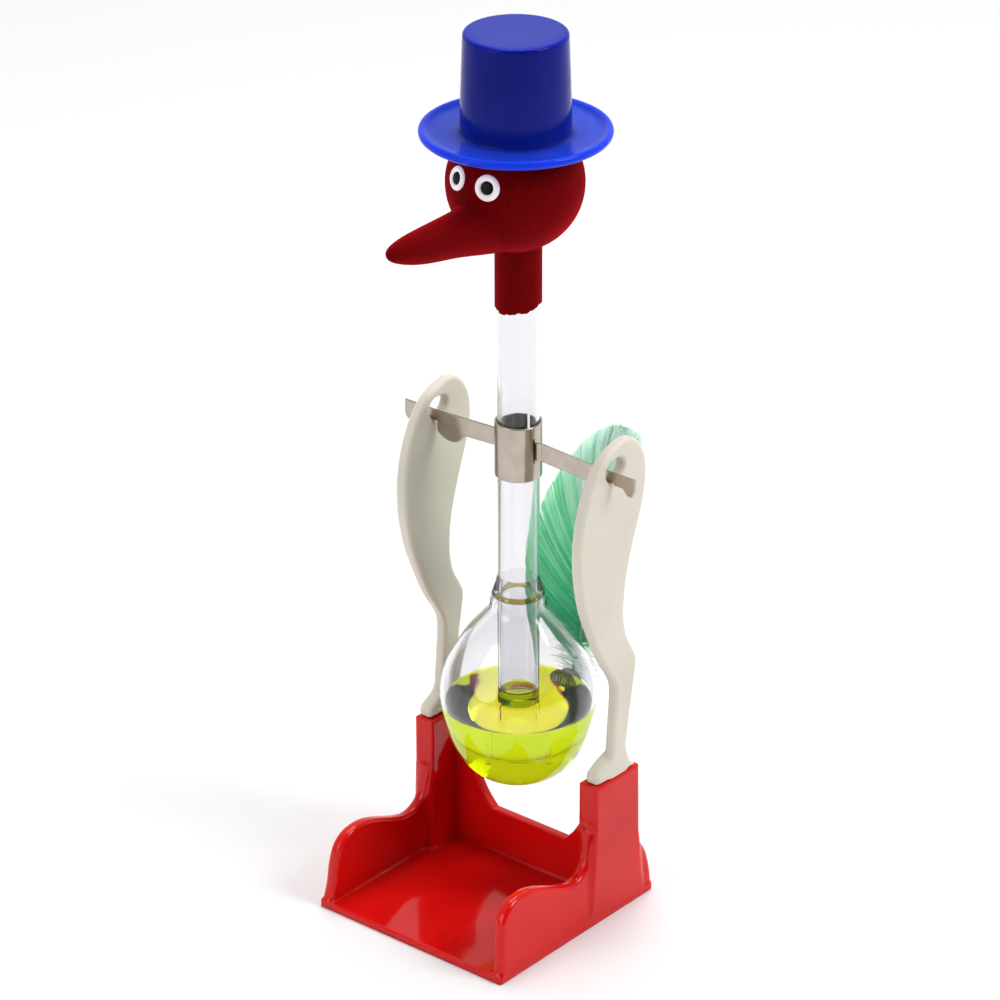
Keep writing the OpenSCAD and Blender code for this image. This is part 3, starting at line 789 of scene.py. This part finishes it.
QUILL_LINE = spline([(17.2, 33), (18, 38), (19.2, 44), (20.4, 54), (21.9, 64), (24, 74), (26.6, 83),
                     (29.3, 89.5)], 6)
LEFT_TIPS = spline([(1.2, 45.5), (5.6, 49.5), (8, 55), (9, 62), (9, 70), (9.2, 77), (9.4, 83.5),
                    (8.2, 88), (5.6, 90), (2.4, 90.2)], 12)
RIGHT_TIPS = spline([(-1.2, 44), (-6.4, 47.5), (-10.6, 53), (-12.7, 60), (-12.7, 67), (-10.8, 75),
                     (-7.6, 82), (-4, 86.8), (-0.6, 89.2), (2.2, 90.2)], 12)
VANE_LOW, VANE_RISE = 42.5, 46.3
FARTHEST_Y, HIGHEST_Z = 29.3, 90.1


def quill_at(z):
    """Y of the quill's middle at a height."""
    return np.interp(z, QUILL_LINE[:, 1], QUILL_LINE[:, 0])


def ribbon(points, widths, thickness, face):
    """A thin closed ribbon along points, widened across the direction face."""
    verts, faces = [], []
    points = np.asarray(points, float)
    along = np.gradient(points, axis=0)
    for p, t, w in zip(points, along, widths):
        side = np.cross(t, face)
        side /= np.linalg.norm(side)
        up = np.cross(side, t)
        up /= np.linalg.norm(up)
        verts += [p + side * w / 2, p + up * thickness / 2, p - side * w / 2, p - up * thickness / 2]
    n = len(points)
    for i in range(n - 1):
        for k in range(4):
            a, b = 4 * i + k, 4 * i + (k + 1) % 4
            faces.append((a, b, b + 4, a + 4))
    faces.append((3, 2, 1, 0))
    faces.append(tuple(4 * (n - 1) + k for k in range(4)))
    return verts, faces


def gather(parts):
    """Several meshes in one."""
    verts, faces = [], []
    for v, f in parts:
        faces += [tuple(i + len(verts) for i in face) for face in f]
        verts += list(v)
    return verts, faces


def along_line(line, share):
    """The point at a share of an open line's points."""
    at = np.clip(share, 0, 1) * (len(line) - 1)
    i = min(int(at), len(line) - 2)
    return line[i] + (at - i) * (line[i + 1] - line[i])


def barbs(rng, tips, side, count=520):
    """One vane: barbs from the quill to the vane's outline, in small clumps."""
    parts = []
    for i in range(count):
        u = (i + 0.6 * rng.random()) / count
        root_z = VANE_LOW + VANE_RISE * u**1.7
        clump = 0.007 * math.sin(u * 75 + side) + 0.004 * math.sin(u * 190)
        tip = along_line(tips, u + clump) * (1 + 0.01 * rng.standard_normal(), 1)
        wave = 0.35 * math.sin(u * 60 + 2 * side) + 0.12 * rng.standard_normal()
        line, wide = [], []
        for t in np.linspace(0, 1, 8):
            z = root_z + (tip[1] - root_z) * (0.6 * t + 0.4 * t * t)
            x = side * 0.3 + (tip[0] - side * 0.3) * t**0.9
            y = quill_at(z) - 0.012 * x * x + wave * t * (1 - 0.5 * t)
            line.append((x, NECK_Y + min(y, FARTHEST_Y), min(z, HIGHEST_Z)))
            wide.append(0.85 * (1 - 0.5 * t**4))
        parts.append(ribbon(line, wide, 0.08, (0, 1, 0.15)))
    return parts


def down(rng):
    """Short pale curls at the foot of the feather."""
    parts = []
    for i in range(110):
        z = 38.5 + 7 * rng.random()
        turn = rng.choice((-1, 1)) * (0.5 + rng.random())
        reach, curl = 3 + 4 * rng.random(), 0.6 + 0.8 * rng.random()
        line = []
        for t in np.linspace(0, 1, 9):
            x = -np.sign(turn) * reach * t + 0.7 * math.sin(5 * curl * t)
            y = 19 + 1.6 * turn * t + 0.6 * math.sin(4 * t + i)
            line.append((x, NECK_Y + y, z + 2.4 * t * curl - 2.2 * t * t))
        parts.append(ribbon(line, 0.45 * (1 - 0.7 * np.linspace(0, 1, 9)), 0.05, (0, 1, 0.2)))
    return parts


def feather():
    """Vanes of barbs on both sides of the quill, with down near the bulb."""
    rng = np.random.default_rng(7)
    verts, faces = gather(barbs(rng, LEFT_TIPS, 1) + barbs(rng, RIGHT_TIPS, -1))
    make("feather_vane_barbs", verts, faces, FEATHER, "bird", node="feather_vane")
    verts, faces = gather(down(rng))
    make("feather_down", verts, faces, DOWN, "bird")
    share = np.linspace(0, 1, len(QUILL_LINE))
    line = [(0, NECK_Y + y, z) for y, z in QUILL_LINE]
    verts, faces = ribbon(line, 1.1 - 0.8 * share, 0.9, (0, 1, 0.2))
    make("feather_quill_shaft", verts, faces, QUILL, "bird", node="feather_quill")


feather()

# ------------------------------------------------------------------ stage, light and camera

AIM = Vector((-0.00461, NECK_Y * MM, 0.08274))
AZIMUTH, ELEVATION, ROLL = math.radians(39.89), math.radians(26.24), math.radians(-0.13)
DISTANCE = 0.9028
LENS = 168.57
LIT = Vector((0, 0, 0.09))
FLOOR_HALF = 4.0


def camera():
    """The photographer's place, solved from the tray, the legs, the strip and the hat."""
    data = bpy.data.cameras.new("camera")
    data.lens, data.sensor_width = LENS, 36
    data.clip_start, data.clip_end = 0.01, 20
    cam = bpy.data.objects.new("camera", data)
    bpy.context.scene.collection.objects.link(cam)
    flat = math.cos(ELEVATION)
    back = Vector((math.sin(AZIMUTH) * flat, -math.cos(AZIMUTH) * flat, math.sin(ELEVATION)))
    cam.location = AIM + back * DISTANCE
    turn = (-back).to_track_quat("-Z", "Y").to_matrix().to_4x4()
    cam.matrix_world = Matrix.Translation(cam.location) @ turn @ Matrix.Rotation(ROLL, 4, "Z")
    bpy.context.scene.camera = cam


def light(name, where, size, power):
    """A round soft box that faces the bird."""
    data = bpy.data.lights.new(name, "AREA")
    data.shape, data.size, data.energy = "DISK", size, power
    obj = bpy.data.objects.new(name, data)
    bpy.context.scene.collection.objects.link(obj)
    obj.location = where
    obj.rotation_euler = (LIT - Vector(where)).to_track_quat("-Z", "Y").to_euler()


def floor():
    """A plain pale table top."""
    s = FLOOR_HALF
    mesh = bpy.data.meshes.new("floor")
    mesh.from_pydata([(-s, -s, 0), (s, -s, 0), (s, s, 0), (-s, s, 0)], [], [(0, 1, 2, 3)])
    obj = bpy.data.objects.new("floor", mesh)
    bpy.context.scene.collection.objects.link(obj)
    mesh.materials.append(material("pale_floor", (0.86, 0.86, 0.86), 0.9)[0])


def surroundings():
    """A white sweep behind the bird and a dim room in front of it."""
    world = bpy.data.worlds.new("studio")
    bpy.context.scene.world = world
    world.use_nodes = True
    tree = world.node_tree
    place = tree.nodes.new("ShaderNodeTexCoord")
    dot = tree.nodes.new("ShaderNodeVectorMath")
    dot.operation = "DOT_PRODUCT"
    dot.inputs[1].default_value = (math.sin(AZIMUTH), -math.cos(AZIMUTH), 0)
    tree.links.new(place.outputs["Generated"], dot.inputs[0])
    stops = [(0.0, (1.0, 1.0, 1.0)), (0.5, (0.55, 0.55, 0.57)), (1.0, (0.08, 0.08, 0.09))]
    shade = ramp(tree, spread(tree, dot.outputs["Value"], 0, 1, -0.5, 0.75), stops)
    tree.links.new(shade, tree.nodes["Background"].inputs["Color"])
    tree.nodes["Background"].inputs["Strength"].default_value = 0.85


camera()
floor()
surroundings()
light("key", (0.75, 0.25, 0.75), 0.5, 5.5)
light("top", (-0.15, 0.25, 1.1), 0.7, 6)
light("fill", (-0.25, -1.0, 0.45), 0.8, 4)
bpy.context.scene.view_settings.view_transform = "Standard"
